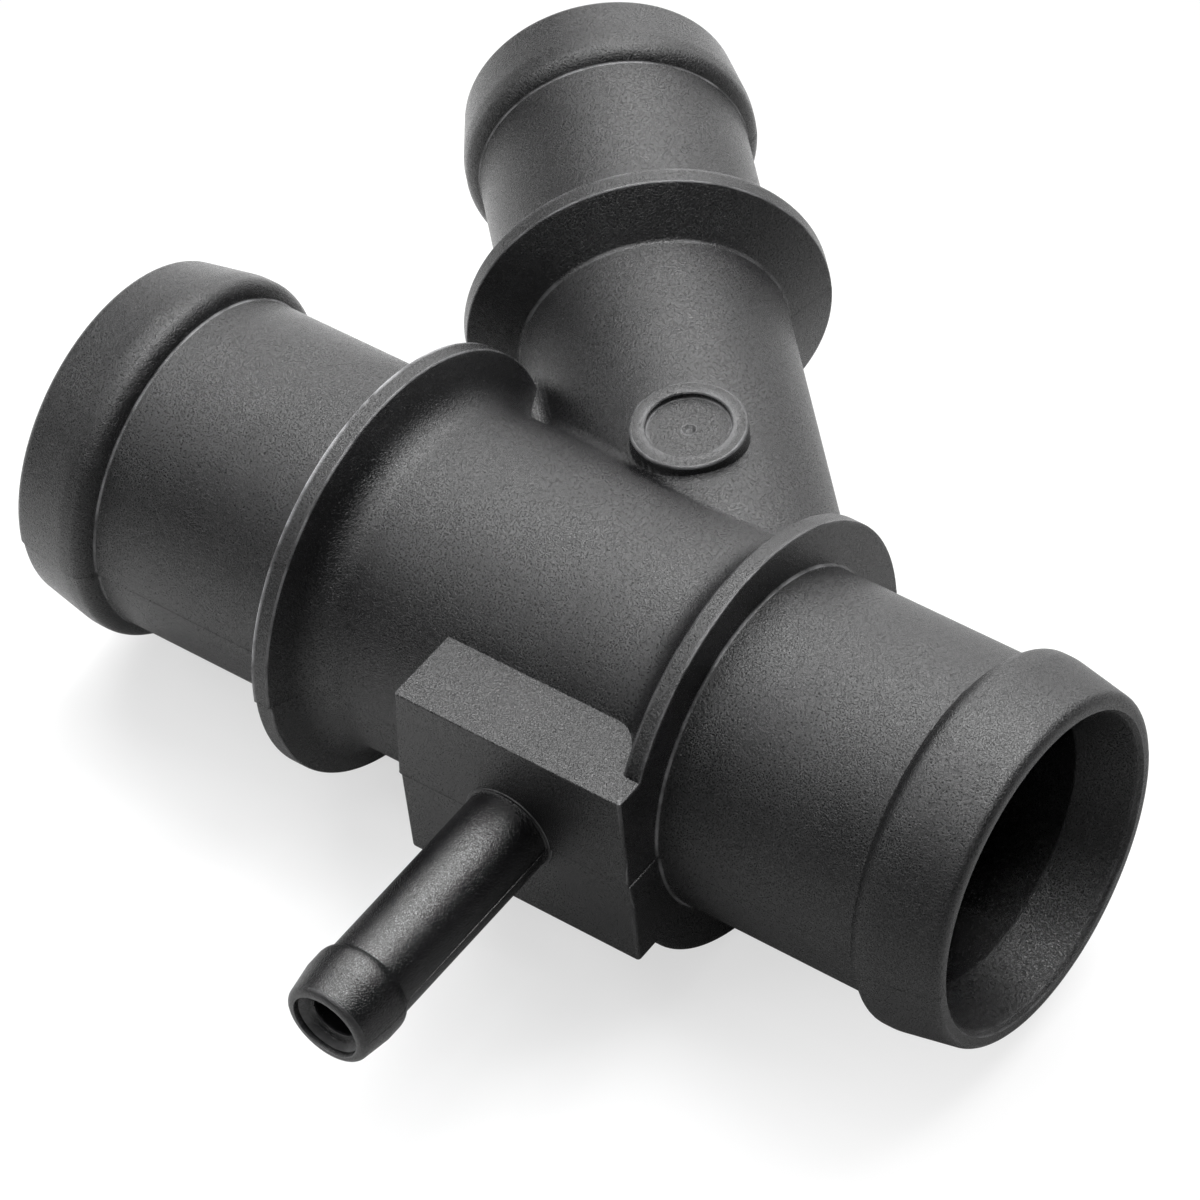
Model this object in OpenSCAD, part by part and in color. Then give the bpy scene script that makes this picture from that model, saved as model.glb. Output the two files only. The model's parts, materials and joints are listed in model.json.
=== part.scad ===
// Coolant distributor pipe, moulded in one piece: a straight run with two hose
// spigots, a branch spigot at an angle, a rectangular block and a small nipple.
// Axes: +X along the run towards the port beside the block, +Z up, square to the
// parting plane that holds all the pipe axes. The origin is the point where the
// branch axis meets the run axis. All sizes are in millimetres.

/* [Sub-part] */
// Sub-part that is built

/* [Run pipe] */
// Outside diameter of the two run ports, where a hose sits
port_d = 32; // [31:0.1:33]
// Bore of the run
bore_d = 25.4; // [22:0.1:26]
// Outside diameter of the middle body, between the two flanges
body_d = 32.6; // [32.2:0.1:34]
// Distance between the outboard faces of the two run flanges
flange_span = 40.3; // [38:0.1:44]
// Distance from the branch axis, on the run axis, to the right flange's outboard face
flange_right_x = 2.15; // [1:0.05:4]
// Length of the plain port from the right flange to its bead
port_right_len = 20.1; // [16:0.1:26]
// Length of the plain port from the left flange to its bead
port_left_len = 21.4; // [16:0.1:26]

/* [Run flanges] */
// Diameter of the right flange
flange_right_d = 40.4; // [38:0.1:44]
// Diameter of the left flange
flange_left_d = 40.9; // [38:0.1:44]
// Thickness of a flange at its rim
rim_t = 1.7; // [1.2:0.1:2.5]
// Slope of a flange's inboard side, in degrees from the plane of the disc
flange_slope = 26; // [15:1:35]
// Radius of the fillet from that side into the middle body
flange_fillet_r = 3.6; // [1.5:0.1:4.5]
// Small radius on the edges of the rims
rim_edge_r = 0.25; // [0.1:0.05:0.5]
// Radius of the small fillet where a port meets its flange
port_foot_r = 0.25; // [0.1:0.05:0.5]

/* [Run beads] */
// Diameter over the bead on a run port
bead_d = 35; // [33.5:0.1:37]
// Axial length of the bead's steep shoulder
bead_rise = 1.7; // [1:0.1:3]
// Length of the level crest
bead_flat = 1.1; // [0.5:0.1:3]
// Length of a bead from its foot to the pipe end
bead_len = 8.9; // [7:0.1:12]
// Outside diameter at the pipe end
end_d = 32.8; // [31:0.1:34]
// Radius of the outer edge of the pipe end
end_r = 1; // [0.4:0.1:1.4]
// Diameter of the mouth, at the foot of its small chamfer
mouth_d = 29.5; // [27:0.1:30]
// Depth of the small chamfer at the mouth
mouth_chamfer = 0.45; // [0.2:0.05:0.8]
// Length of the cone that leads from the mouth into the bore
flare_len = 4.9; // [3:0.1:7]

/* [Branch] */
// Angle between the branch and the left leg of the run, in degrees
branch_angle = 45; // [40:1:55]
// Outside diameter of the branch tube, up to its flange
branch_tube_d = 25; // [24:0.1:26]
// Outside diameter of the branch port
branch_port_d = 25.6; // [24.5:0.1:26.5]
// Bore of the branch
branch_bore_d = 19.6; // [17:0.1:20.5]
// Distance along the branch axis to the outboard face of its flange
branch_flange_s = 52.9; // [50:0.1:58]
// Diameter of the branch flange
branch_flange_d = 34; // [31:0.1:36]
// Axial length of the cone on the inboard side of the branch flange
branch_cone_len = 3.1; // [2:0.1:4.5]
// Length of the plain branch port
branch_port_len = 19.2; // [16:0.1:24]
// Diameter over the bead of the branch
branch_bead_d = 27.8; // [26.5:0.1:30]
// Length of the branch bead from its foot to the end
branch_bead_len = 8.7; // [7:0.1:11]
// Outside diameter at the branch end
branch_end_d = 25.9; // [24.6:0.1:27]
// Diameter of the branch mouth
branch_mouth_d = 23; // [21:0.1:24]

/* [Web and boss] */
// Half the thickness of the level web in the crotch
web_half_t = 5; // [4:0.1:6]
// Radius of the fillet from the web up to the branch tube
web_fillet_r = 1.2; // [0.8:0.1:2]
// Radius of the fillet between the branch tube and the middle body
crotch_r = 1.6; // [0.8:0.1:2]
// Distance of the round boss along the branch axis
boss_s = 24; // [20:0.1:30]
// Height of the boss face above the run axis
boss_z = 13.4; // [13:0.1:15]
// Diameter of the boss
boss_d = 10.8; // [9:0.1:13]
// Diameter of the shallow recess in the boss
recess_d = 7.7; // [6:0.1:9]
// Depth of that recess
recess_depth = 0.8; // [0.4:0.1:1.2]
// Diameter of the centre mark in the recess
mark_d = 1.2; // [0.8:0.1:2]

/* [Block] */
// Length of the block from the right flange's outboard face
block_len = 24.6; // [20:0.1:28]
// Distance of the block's front from the run axis, at the parting plane
block_front = 20.2; // [20.2:0.05:22]
// Height of the block's top above the parting plane
block_top = 10.6; // [8:0.1:12]
// Depth of the block's underside below the parting plane
block_bottom = 10; // [8:0.1:12]
// Draft of the block's front, as a set-back at top and bottom
front_draft = 0.1; // [0:0.05:0.9]
// Draft of the block's left end, as a set-back at the top
end_draft = 0.8; // [0:0.05:1]
// Radius of the block's lower edges
block_edge_r = 1.1; // [0.5:0.1:2]

/* [Nipple] */
// Distance of the nipple from the right flange's outboard face
nipple_back = 12.65; // [10:0.1:15]
// Outside diameter of the nipple
nipple_d = 8.3; // [7.5:0.1:9]
// Bore of the nipple
nipple_bore_d = 4.4; // [3.5:0.1:5]
// Distance of the nipple's end from the run axis
nipple_end = 46; // [42:0.1:50]
// Diameter over the nipple's bead
nipple_bead_d = 9.2; // [8.8:0.1:10]
// Length of that bead from its foot to the end
nipple_bead_len = 5.9; // [4.5:0.1:7]
// Diameter of the nipple's mouth
nipple_mouth_d = 6.5; // [5.5:0.1:7]
// Radius of the fillet at the nipple's foot
nipple_foot_r = 0.45; // [0.3:0.05:0.8]

/* [Hidden] */
$fa = 3;
$fs = 0.4;

flange_left_x = flange_right_x - flange_span;
bead_right_x = flange_right_x + port_right_len;
bead_left_x = flange_left_x - port_left_len;
end_right_x = bead_right_x + bead_len;
end_left_x = bead_left_x - bead_len;
bead_branch_s = branch_flange_s + branch_port_len;
end_branch_s = bead_branch_s + branch_bead_len;
nipple_x = flange_right_x - nipple_back;
branch_dir = 180 - branch_angle;

// points of an arc about c, from angle a0 to a1
function arc(c, r, a0, a1, n = 6) =
    [for (i = [0:n]) c + r * [cos(a0 + (a1 - a0) * i / n), sin(a0 + (a1 - a0) * i / n)]];

// outline of a bead from its foot to the end of the pipe, as [s, radius] pairs
function bead_line(s, foot_r, top_r, rise, flat, len, out_r, edge) = concat(
    [for (a = [0:15:90]) [s + rise * (1 - cos(a)), foot_r + (top_r - foot_r) * sin(a)]],
    [[s + rise + flat, top_r]],
    arc([s + len - edge, out_r - edge], edge, 84, 0, 6));

// inboard side of a run flange: slope from the rim, then the fillet into the body
function flange_line(x, r, body_r, slope, fillet, rim, edge) =
    let (x1 = x - rim, k = tan(slope),
         cy = body_r + fillet,
         cx = x1 - (r - cy) * k - fillet / cos(slope))
    concat(
        arc([cx, cy], fillet, -90, -slope, 6),
        arc([x1 + edge * 0.8, r - edge], edge, 180 - slope, 90, 3),
        arc([x - edge, r - edge], edge, 90, 0, 3));

// turns a list of [s, radius] pairs, closed on the axis, about the X axis
module turned(points) {
    rotate([0, 90, 0]) rotate([0, 0, 90]) rotate_extrude()
        polygon([for (p = points) [p[1], p[0]]]);
}

// the same about the branch axis
module on_branch() { rotate([0, 0, branch_dir]) children(); }

// the same about the nipple axis, which points to -Y
module on_nipple() { translate([nipple_x, 0, 0]) rotate([0, 0, -90]) children(); }

// outside of one end of the run: a stretch of the middle body, its flange and spigot
module run_half(side, flange_d, flange_x, bead_x) {
    start = flange_x - 12;
    mirror([side < 0 ? 1 : 0, 0, 0]) turned(concat(
        [[start, 0], [start, body_d / 2]],
        flange_line(flange_x, flange_d / 2, body_d / 2, flange_slope,
                    flange_fillet_r, rim_t, rim_edge_r),
        arc([flange_x + port_foot_r, port_d / 2 + port_foot_r], port_foot_r, 180, 270, 3),
        bead_line(bead_x, port_d / 2, bead_d / 2, bead_rise, bead_flat, bead_len,
                  end_d / 2, end_r),
        [[bead_x + bead_len, 0]]));
}

module run_outside() {
    run_half(1, flange_right_d, flange_right_x, bead_right_x);
    run_half(-1, flange_left_d, -flange_left_x, -bead_left_x);
    turned([[flange_left_x + 10, 0], [flange_left_x + 10, body_d / 2],
            [flange_right_x - 10, body_d / 2], [flange_right_x - 10, 0]]);
}

module branch_outside() {
    tube_r = branch_tube_d / 2;
    near = branch_flange_s - rim_t;
    on_branch() turned(concat(
        [[0, 0], [0, tube_r], [near - branch_cone_len, tube_r]],
        arc([near + rim_edge_r * 0.4, branch_flange_d / 2 - rim_edge_r],
            rim_edge_r, 130, 90, 3),
        arc([branch_flange_s - rim_edge_r, branch_flange_d / 2 - rim_edge_r],
            rim_edge_r, 90, 0, 3),
        arc([branch_flange_s + port_foot_r, branch_port_d / 2 + port_foot_r],
            port_foot_r, 180, 270, 3),
        bead_line(bead_branch_s, branch_port_d / 2, branch_bead_d / 2, bead_rise,
                  bead_flat, branch_bead_len, branch_end_d / 2, end_r * 0.8),
        [[end_branch_s, 0]]));
}

// fillet strip where the branch tube meets the middle body: the surface left by a
// ball that rolls along both, closed inside the walls
module crotch_fillet() {
    steps = 72;
    r1 = body_d / 2;
    r2 = branch_tube_d / 2;
    q = crotch_r;
    sink = 0.04;
    d = [cos(branch_dir), sin(branch_dir), 0];
    e = [-d[1], d[0], 0];
    n2 = [for (i = [0:steps - 1]) cos(360 * i / steps) * e + [0, 0, sin(360 * i / steps)]];
    // point at distance a outside the run and b outside the branch, at angle i
    function meet(i, a, b) =
        let (z = (r2 + b) * n2[i][2], s = (sqrt(pow(r1 + a, 2) - z * z) - (r2 + b) * n2[i][1]) / d[1])
        s * d + (r2 + b) * n2[i];
    function unit(v) = v / norm(v);
    function slice(i) =
        let (c = meet(i, q, q), u = -unit([0, c[1], c[2]]), v = -n2[i], w = acos(u * v))
        concat([for (k = [0:5]) c + q * (sin(w * (1 - k / 5)) * u + sin(w * k / 5) * v) / sin(w)
                                + sink * (k == 0 ? u : k == 5 ? v : [0, 0, 0])],
               [c + (q + sink) * v + 0.8 * v, meet(i, -1.2, -1.2), c + (q + 0.8) * u]);
    n = len(slice(0));
    polyhedron(
        [for (i = [0:steps - 1]) each slice(i)],
        [for (i = [0:steps - 1]) for (k = [0:n - 1])
            [i * n + k, i * n + (k + 1) % n, ((i + 1) % steps) * n + (k + 1) % n,
             ((i + 1) % steps) * n + k]]);
}

// plan of the crotch: the corner between the left flange, the run and the branch
module crotch_plan(half_h) {
    reach = -flange_left_x - rim_t / 2;
    across = branch_tube_d / 2 / cos(branch_angle);
    translate([0, 0, -half_h]) linear_extrude(2 * half_h)
        polygon([[0, 0], [-reach, 0], [-reach, reach * tan(branch_angle) - across + 2.6],
                 [-reach * 0.9, reach * 0.9 * tan(branch_angle)]]);
}

// level web in that corner, with a fillet up and down to the branch tube
module web() {
    f = web_fillet_r;
    z = web_half_t + f;
    tube_r = branch_tube_d / 2;
    out = sqrt(pow(tube_r + f, 2) - z * z);
    turn = atan2(z, out);
    upper = concat([[out, web_half_t]], arc([out, z], f, 270, 180 + turn, 6),
                   [[cos(turn), sin(turn)] * (tube_r - 1)]);
    crotch_plan(web_half_t);
    intersection() {
        crotch_plan(z + f);
        on_branch() rotate([90, 0, 90]) linear_extrude(branch_flange_s)
            polygon(concat(upper, [for (i = [len(upper) - 1:-1:0]) [upper[i][0], -upper[i][1]]]));
    }
}

module boss() {
    on_branch() translate([boss_s, 0, 0]) {
        cylinder(d = boss_d, h = boss_z - 0.3);
        translate([0, 0, boss_z - 0.3]) cylinder(d1 = boss_d, d2 = boss_d - 0.3, h = 0.3);
    }
}

module boss_recess() {
    on_branch() translate([boss_s, 0, 0]) {
        translate([0, 0, boss_z - recess_depth]) cylinder(d = recess_d, h = recess_depth + 1);
        translate([0, 0, boss_z - recess_depth - 0.25]) cylinder(d = mark_d, h = 1);
    }
}

// block beside the run: end profile and front profile, crossed
module block() {
    x0 = flange_right_x - block_len;
    h = block_top;
    d = block_bottom;
    r = block_edge_r;
    intersection() {
        translate([0, 1, 0]) rotate([90, 0, 0]) linear_extrude(block_front + 2)
            polygon(concat(
                [[flange_right_x, h], [x0 + end_draft, h], [x0, 0]],
                [for (a = [180:15:270]) [x0 + r + r * cos(a), -d + r + r * sin(a)]],
                [for (a = [270:15:360]) [flange_right_x - r + r * cos(a), -d + r + r * sin(a)]]));
        translate([x0 - 1, 0, 0]) rotate([90, 0, 90]) linear_extrude(block_len + 2)
            polygon([[0, h + 1], [0, -d - 1], [-block_front + front_draft, -d - 1],
                     [-block_front + front_draft, -d], [-block_front, 0],
                     [-block_front + front_draft, h], [-block_front + front_draft, h + 1]]);
    }
}

module nipple_outside() {
    r = nipple_d / 2;
    f = nipple_foot_r;
    foot = nipple_end - nipple_bead_len;
    on_nipple() turned(concat(
        [[block_front - 3, 0], [block_front - 3, r + f]],
        arc([block_front + f - 0.1, r + f], f, 180, 270, 5),
        [[foot, r]],
        [for (a = [0:30:90]) [foot + 1.2 * (1 - cos(a)), r + (nipple_bead_d / 2 - r) * sin(a)]],
        [[foot + 2.6, nipple_bead_d / 2]],
        arc([nipple_end - 1, r + 0.1 - 1], 1, 75, 15, 5),
        [[nipple_end, r - 0.7], [nipple_end, 0]]));
}

// waterways: run, branch and nipple, with their flared mouths
module mouth(s, d_mouth, d_bore, len) {
    turned([[s - len - mouth_chamfer, 0], [s - len - mouth_chamfer, d_bore / 2],
            [s - mouth_chamfer, d_mouth / 2], [s, d_mouth / 2 + mouth_chamfer * 0.8],
            [s + 1, d_mouth / 2 + mouth_chamfer * 0.8], [s + 1, 0]]);
}

module run_bore() {
    translate([end_left_x - 1, 0, 0]) rotate([0, 90, 0])
        cylinder(d = bore_d, h = end_right_x - end_left_x + 2);
    mouth(end_right_x, mouth_d, bore_d, flare_len);
    mirror([1, 0, 0]) mouth(-end_left_x, mouth_d, bore_d, flare_len);
}

module branch_bore() {
    on_branch() {
        rotate([0, 90, 0]) cylinder(d = branch_bore_d, h = end_branch_s + 1);
        mouth(end_branch_s, branch_mouth_d, branch_bore_d, flare_len);
    }
}

module nipple_bore() {
    m = nipple_mouth_d / 2;
    on_nipple() turned([[0, 0], [0, nipple_bore_d / 2],
        [nipple_end - 1.4, nipple_bore_d / 2], [nipple_end - 0.5, m - 0.1],
        [nipple_end - 0.5, m], [nipple_end + 1, m], [nipple_end + 1, 0]]);
}

module distributor_pipe() {
    color([0.16, 0.16, 0.17]) difference() {
        union() {
            run_outside();
            branch_outside();
            crotch_fillet();
            web();
            boss();
            block();
            nipple_outside();
        }
        run_bore();
        branch_bore();
        nipple_bore();
        boss_recess();
    }
}

distributor_pipe();
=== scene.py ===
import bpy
import json
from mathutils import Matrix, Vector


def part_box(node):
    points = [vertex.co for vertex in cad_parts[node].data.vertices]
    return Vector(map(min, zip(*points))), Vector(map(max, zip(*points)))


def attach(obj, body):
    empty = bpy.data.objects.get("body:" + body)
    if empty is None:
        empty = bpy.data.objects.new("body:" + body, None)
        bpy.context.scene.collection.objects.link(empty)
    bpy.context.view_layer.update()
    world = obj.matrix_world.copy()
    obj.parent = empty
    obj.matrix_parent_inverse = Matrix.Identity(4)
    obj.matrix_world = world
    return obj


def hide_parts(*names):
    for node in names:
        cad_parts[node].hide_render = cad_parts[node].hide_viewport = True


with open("model.json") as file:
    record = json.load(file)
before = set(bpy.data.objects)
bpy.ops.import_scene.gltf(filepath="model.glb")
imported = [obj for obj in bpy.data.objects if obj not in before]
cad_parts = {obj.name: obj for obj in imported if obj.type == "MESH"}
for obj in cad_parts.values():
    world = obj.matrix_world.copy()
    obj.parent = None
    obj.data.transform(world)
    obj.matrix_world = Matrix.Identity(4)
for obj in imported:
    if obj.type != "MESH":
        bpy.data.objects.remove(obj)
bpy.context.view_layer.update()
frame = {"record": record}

import json
import math

import bmesh
import bpy
import numpy as np
from mathutils import Matrix, Vector

bl_info = {
    "name": "Coolant Distributor Pipe",
    "version": (1, 0, 0),
    "blender": (4, 5, 0),
    "location": "View3D > Sidebar > Coolant Pipe",
    "description": "Builds a moulded nylon coolant distributor pipe and its studio",
    "category": "Object",
}

MM = 0.001
NODE = "distributor_pipe"
SKIN = "Glass Filled Nylon"
SEAT_LOW, SEAT_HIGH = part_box(NODE)
MOUNTS = {mount["name"]: mount for mount in frame["record"]["mounts"]}
BRANCH_AXIS = Vector(MOUNTS["branch_bore"]["axis"]).normalized()
NIPPLE_AXIS = Vector(MOUNTS["nipple_bore"]["axis"]).normalized()
NIPPLE_ROOT = Vector((MOUNTS["nipple_bore"]["pos_m"][0], 0, 0))
# How far a shape or a cutter runs on past the face that it meets.
PAST = 1 * MM
# Points closer together than this are one.
WELD = 1e-7


# Properties

def length(label, millimetres, text):
    """A length property: its default is given in millimetres and kept in metres."""
    return bpy.props.FloatProperty(name=label, description=text, default=millimetres * MM,
                                   precision=5, unit="LENGTH")


def bore_width(mount):
    """Diameter of a bore that the frame states, in millimetres."""
    return 2 * MOUNTS[mount]["dims"]["r_mm"]


def factor(label, value, text, high=1.0):
    """A plain number from 0 to high."""
    return bpy.props.FloatProperty(name=label, description=text, default=value, min=0.0, max=high)


def tint(label, rgb, text):
    """A linear colour."""
    return bpy.props.FloatVectorProperty(name=label, description=text, default=rgb, size=3,
                                         min=0.0, max=1.0, subtype="COLOR")


class PIPE_PG_run(bpy.types.PropertyGroup):
    """Sizes of the straight run and its two spigots"""

    port_d: length("Port", 32.0, "Outside diameter of the two ports, where a hose sits")
    bore_d: length("Bore", bore_width("run_bore"), "Bore of the run")
    body_d: length("Body", 32.6, "Outside diameter between the two flanges")
    flange_right_x: length("Right flange", 2.15, "Place of the right flange's outboard face")
    flange_left_x: length("Left flange", -38.15, "Place of the left flange's outboard face")
    flange_right_d: length("Right flange width", 40.4, "Diameter of the right flange")
    flange_left_d: length("Left flange width", 40.9, "Diameter of the left flange")
    port_right: length("Right port", 20.1, "Length of the right port, from flange to bead")
    port_left: length("Left port", 21.4, "Length of the left port, from flange to bead")
    bead_d: length("Bead", 35.0, "Diameter over a bead")
    end_d: length("End", 32.8, "Outside diameter at a pipe end")
    end_r: length("End edge", 1.0, "Radius of the outer edge of a pipe end")
    mouth_d: length("Mouth", 29.5, "Diameter of a mouth, inside its small chamfer")


class PIPE_PG_branch(bpy.types.PropertyGroup):
    """Sizes of the slanted branch"""

    tube_d: length("Tube", 25.0, "Outside diameter between the run and the branch flange")
    port_d: length("Port", 25.6, "Outside diameter of the port, where a hose sits")
    bore_d: length("Bore", bore_width("branch_bore"), "Bore of the branch")
    flange_s: length("Flange", 52.9, "Distance from the run axis to the flange's outboard face")
    flange_d: length("Flange width", 34.0, "Diameter of the flange")
    cone: length("Cone", 3.1, "Length of the cone on the flange's inboard side")
    port: length("Port length", 19.2, "Length of the port, from flange to bead")
    bead_d: length("Bead", 27.8, "Diameter over the bead")
    end_s: length("End", 80.8, "Distance from the run axis to the end of the branch")
    end_d: length("End width", 25.9, "Outside diameter at the end")
    end_r: length("End edge", 0.8, "Radius of the outer edge of the end")
    mouth_d: length("Mouth", 23.0, "Diameter of the mouth")
    crotch_r: length("Crotch fillet", 1.2, "Radius of the fillet between branch and run")
    web_half: length("Web", 5.0, "Half the thickness of the level web in the crotch")
    web_r: length("Web fillet", 1.2, "Radius of the fillet from the web up to the branch")
    boss_s: length("Boss", 24.0, "Distance from the run axis to the round boss")
    boss_z: length("Boss height", 13.4, "Height of the boss face above the pipe axes")
    boss_d: length("Boss width", 10.8, "Diameter of the boss")
    recess_d: length("Recess", 7.7, "Diameter of the shallow recess in the boss")
    recess: length("Recess depth", 0.65, "Depth of that recess")
    mark_d: length("Centre mark", 1.2, "Diameter of the mark in the middle of the recess")


class PIPE_PG_side(bpy.types.PropertyGroup):
    """Sizes of the block beside the run, and of the nipple on it"""

    block: length("Block", 24.6, "Length of the block, from the right flange's outboard face")
    front: length("Block front", 20.2, "Distance of the block's front from the run axis")
    top: length("Block top", 10.6, "Height of the block's top above the pipe axes")
    bottom: length("Block bottom", 10.0, "Depth of the block's underside below the pipe axes")
    front_draft: length("Front draft", 0.1, "Set-back of the block's front above and below")
    end_draft: length("End draft", 0.8, "Set-back of the block's left end at the top")
    low_r: length("Lower edges", 1.1, "Radius of the block's lower edges")
    top_r: length("Upper edges", 0.14, "Radius of the block's upper edges")
    corner_r: length("Upright edges", 0.35, "Radius of the block's upright front edges")
    nipple_d: length("Nipple", 8.3, "Outside diameter of the nipple")
    bore_d: length("Nipple bore", bore_width("nipple_bore"), "Bore of the nipple")
    bead_d: length("Nipple bead", 9.2, "Diameter over the nipple's bead")
    bead: length("Nipple bead length", 5.9, "Length of that bead, to the end")
    mouth_d: length("Nipple mouth", 6.5, "Diameter of the nipple's mouth")
    collar: length("Nipple collar", 0.32, "Width of the thin collar at the nipple's foot")


class PIPE_PG_moulding(bpy.types.PropertyGroup):
    """Details that every part of the moulding shares"""

    rim: length("Rim", 1.7, "Thickness of a flange at its rim")
    rim_r: length("Rim edge", 0.1, "Radius on the outboard edge of a rim")
    rim_left_r: length("Left rims", 0.25, "Radius on the left and branch rims' inboard edges")
    rim_right_r: length("Right rim", 0.45, "Radius on the right rim's inboard edge")
    flange_slope: bpy.props.FloatProperty(
        name="Flange slope", description="Slope of the inboard side of a run flange",
        default=math.radians(26), subtype="ANGLE")
    flange_r: length("Flange fillet", 3.6, "Fillet from that side into the body")
    foot_r: length("Foot fillet", 0.25, "Fillet where a port meets its flange")
    bead_rise: length("Bead shoulder", 1.7, "Length of a bead's steep shoulder")
    bead_flat: length("Bead crest", 1.1, "Length of a bead's level crest")
    crest_r: length("Crest edge", 4.0, "Radius from the crest into the taper")
    chamfer: length("Mouth chamfer", 0.45, "Depth of the small chamfer at a mouth")
    flare: length("Mouth cone", 4.9, "Length of the cone from a mouth into the bore")
    seam: length("Seam height", 0.03, "Height of the flash along the parting line")
    seam_half: length("Seam half width", 0.03, "Half the width of the parting line")
    shift_x: length("Mould shift X", 0.12, "Shift of the lower mould half along the run")
    shift_y: length("Mould shift Y", 0.12, "Shift of the lower mould half across the run")
    segments: bpy.props.IntProperty(
        name="Facets", description="Facets round a revolved outline",
        default=180, min=36, max=360)


class PIPE_PG_finish(bpy.types.PropertyGroup):
    """Colour and surface of the moulded nylon"""

    colour: tint("Colour", (0.0032, 0.0032, 0.0035), "Colour of the black nylon")
    bloom: tint("Bloom", (0.016, 0.016, 0.0168), "Paler colour of the glass-rich skin")
    # Pale edge colour: partly rubbing, partly a painted highlight on small radii.
    highlight_and_wear_colour: tint("Edge highlight and rubbing", (0.4, 0.4, 0.41), "Colour of the painted highlight and rubbing on edges")
    roughness: factor("Roughness", 0.25, "Roughness of the grained skin")
    nipple_polish: bpy.props.FloatProperty(
        name="Nipple polish", description="Added to the roughness on the nipple",
        default=-0.03, min=-0.3, max=0.0)
    grain: length("Grain", 0.092, "Depth of the fine mould grain")
    grain_size: length("Grain size", 0.145, "Width of one grain")
    glint: factor("Glint", 0.21, "How much more the grain's tops shine than its hollows")
    nipple_grain: factor("Nipple grain", 0.6, "Share of the grain that the smoother nipple has")


class PIPE_PG_studio(bpy.types.PropertyGroup):
    """Camera, lamps and floor"""

    azimuth: bpy.props.FloatProperty(
        name="Azimuth", description="Camera's angle round the part, 0 looks along +Y",
        default=math.radians(40.98), subtype="ANGLE")
    elevation: bpy.props.FloatProperty(
        name="Elevation", description="Camera's angle above the horizon",
        default=math.radians(47.21), subtype="ANGLE")
    roll: bpy.props.FloatProperty(
        name="Roll", description="Camera's turn about its own axis",
        default=math.radians(-6.67), subtype="ANGLE")
    distance: length("Distance", 562.3, "Camera's distance from its target")
    target_x: length("Target X", -19.41, "Point that the camera looks at, along the run")
    target_y: length("Target Y", 5.36, "Point that the camera looks at, across the run")
    lens: bpy.props.FloatProperty(
        name="Lens", description="Focal length on a sensor 36 mm wide",
        default=191.4, unit="CAMERA")
    floor: factor("Floor", 0.82, "Grey level of the pale floor")
    bounce: factor("Bounce", 0.55, "Grey level of the floor, left of the part, for the light "
                                   "that it throws back")
    flag: factor("Flagged bounce", 0.28, "The same grey level on the right, where it is darker")
    glow: factor("Glow", 0.62, "Share of plain white in the floor that the camera sees")
    ambient: factor("Ambient", 0.015, "Strength of the plain light from all round", 4.0)


# Outlines

def rounded(corners, step=math.radians(11), guard=0.3 * MM, full=0.98):
    """Turns (s, r, fillet) corners into a line of (s, r) points, with an arc at each fillet.

    An arc takes up no more than the share full of the room beside its corner. A guard point on
    either side of it keeps its shading off the long wall there.
    """
    points = []
    last = len(corners) - 1
    for k, (s, r, fillet) in enumerate(corners):
        here = np.array((s, r))
        if k in (0, last) or fillet == 0:
            points.append(here)
            continue
        back = np.array(corners[k - 1][:2]) - here
        ahead = np.array(corners[k + 1][:2]) - here
        room_back = np.linalg.norm(back) * (0.5 if corners[k - 1][2] else 1.0)
        room_ahead = np.linalg.norm(ahead) * (0.5 if corners[k + 1][2] else 1.0)
        back /= np.linalg.norm(back)
        ahead /= np.linalg.norm(ahead)
        half = math.acos(np.clip(back @ ahead, -1, 1)) / 2
        reach = min(fillet / math.tan(half), full * room_back, full * room_ahead)
        radius = reach * math.tan(half)
        middle = back + ahead
        centre = here + middle / np.linalg.norm(middle) * radius / math.sin(half)
        start = here + back * reach - centre
        turn = math.pi - 2 * half
        if start[1] * back[0] - start[0] * back[1] < 0:
            turn = -turn
        if reach + guard < room_back:
            points.append(here + back * (reach + guard))
        steps = max(2, math.ceil(abs(turn) / step))
        for i in range(steps + 1):
            cos, sin = math.cos(turn * i / steps), math.sin(turn * i / steps)
            points.append(centre + np.array((start[0] * cos - start[1] * sin,
                                             start[0] * sin + start[1] * cos)))
        if reach + guard < room_ahead:
            points.append(here + ahead * (reach + guard))
    return points


def bead(foot, foot_r, crest_r, rise, flat, crest_edge, end, end_r, edge):
    """Corners of a bead: steep shoulder, level crest, long taper and rounded end.

    The shoulder is the stretch of an ellipse from the angle first up to its top.
    """
    first, foot_fillet = math.radians(35), 0.25 * MM
    shoulder = [(foot + rise * (1 - math.cos(a) / math.cos(first)),
                 crest_r - (crest_r - foot_r) * (1 - math.sin(a)) / (1 - math.sin(first)), 0)
                for a in np.linspace(first, math.pi / 2, 9)]
    shoulder[0] = (foot, foot_r, foot_fillet)
    return shoulder + [(foot + rise + flat, crest_r, crest_edge), (end, end_r, edge)]


def run_spigot(run, detail, flange_x, flange_d, inboard_r, port, end):
    """Corners of one end of the run, from the middle body to the pipe end."""
    body_r, port_r, flange_r = run.body_d / 2, run.port_d / 2, flange_d / 2
    inboard = flange_x - detail.rim
    slope_foot = inboard - (flange_r - body_r) * math.tan(detail.flange_slope)
    return [
        (slope_foot, body_r, detail.flange_r),
        (inboard, flange_r, inboard_r),
        (flange_x, flange_r, detail.rim_r),
        (flange_x, port_r, detail.foot_r),
        *bead(flange_x + port, port_r, run.bead_d / 2, detail.bead_rise, detail.bead_flat,
              detail.crest_r, end, run.end_d / 2, run.end_r),
    ]


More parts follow.
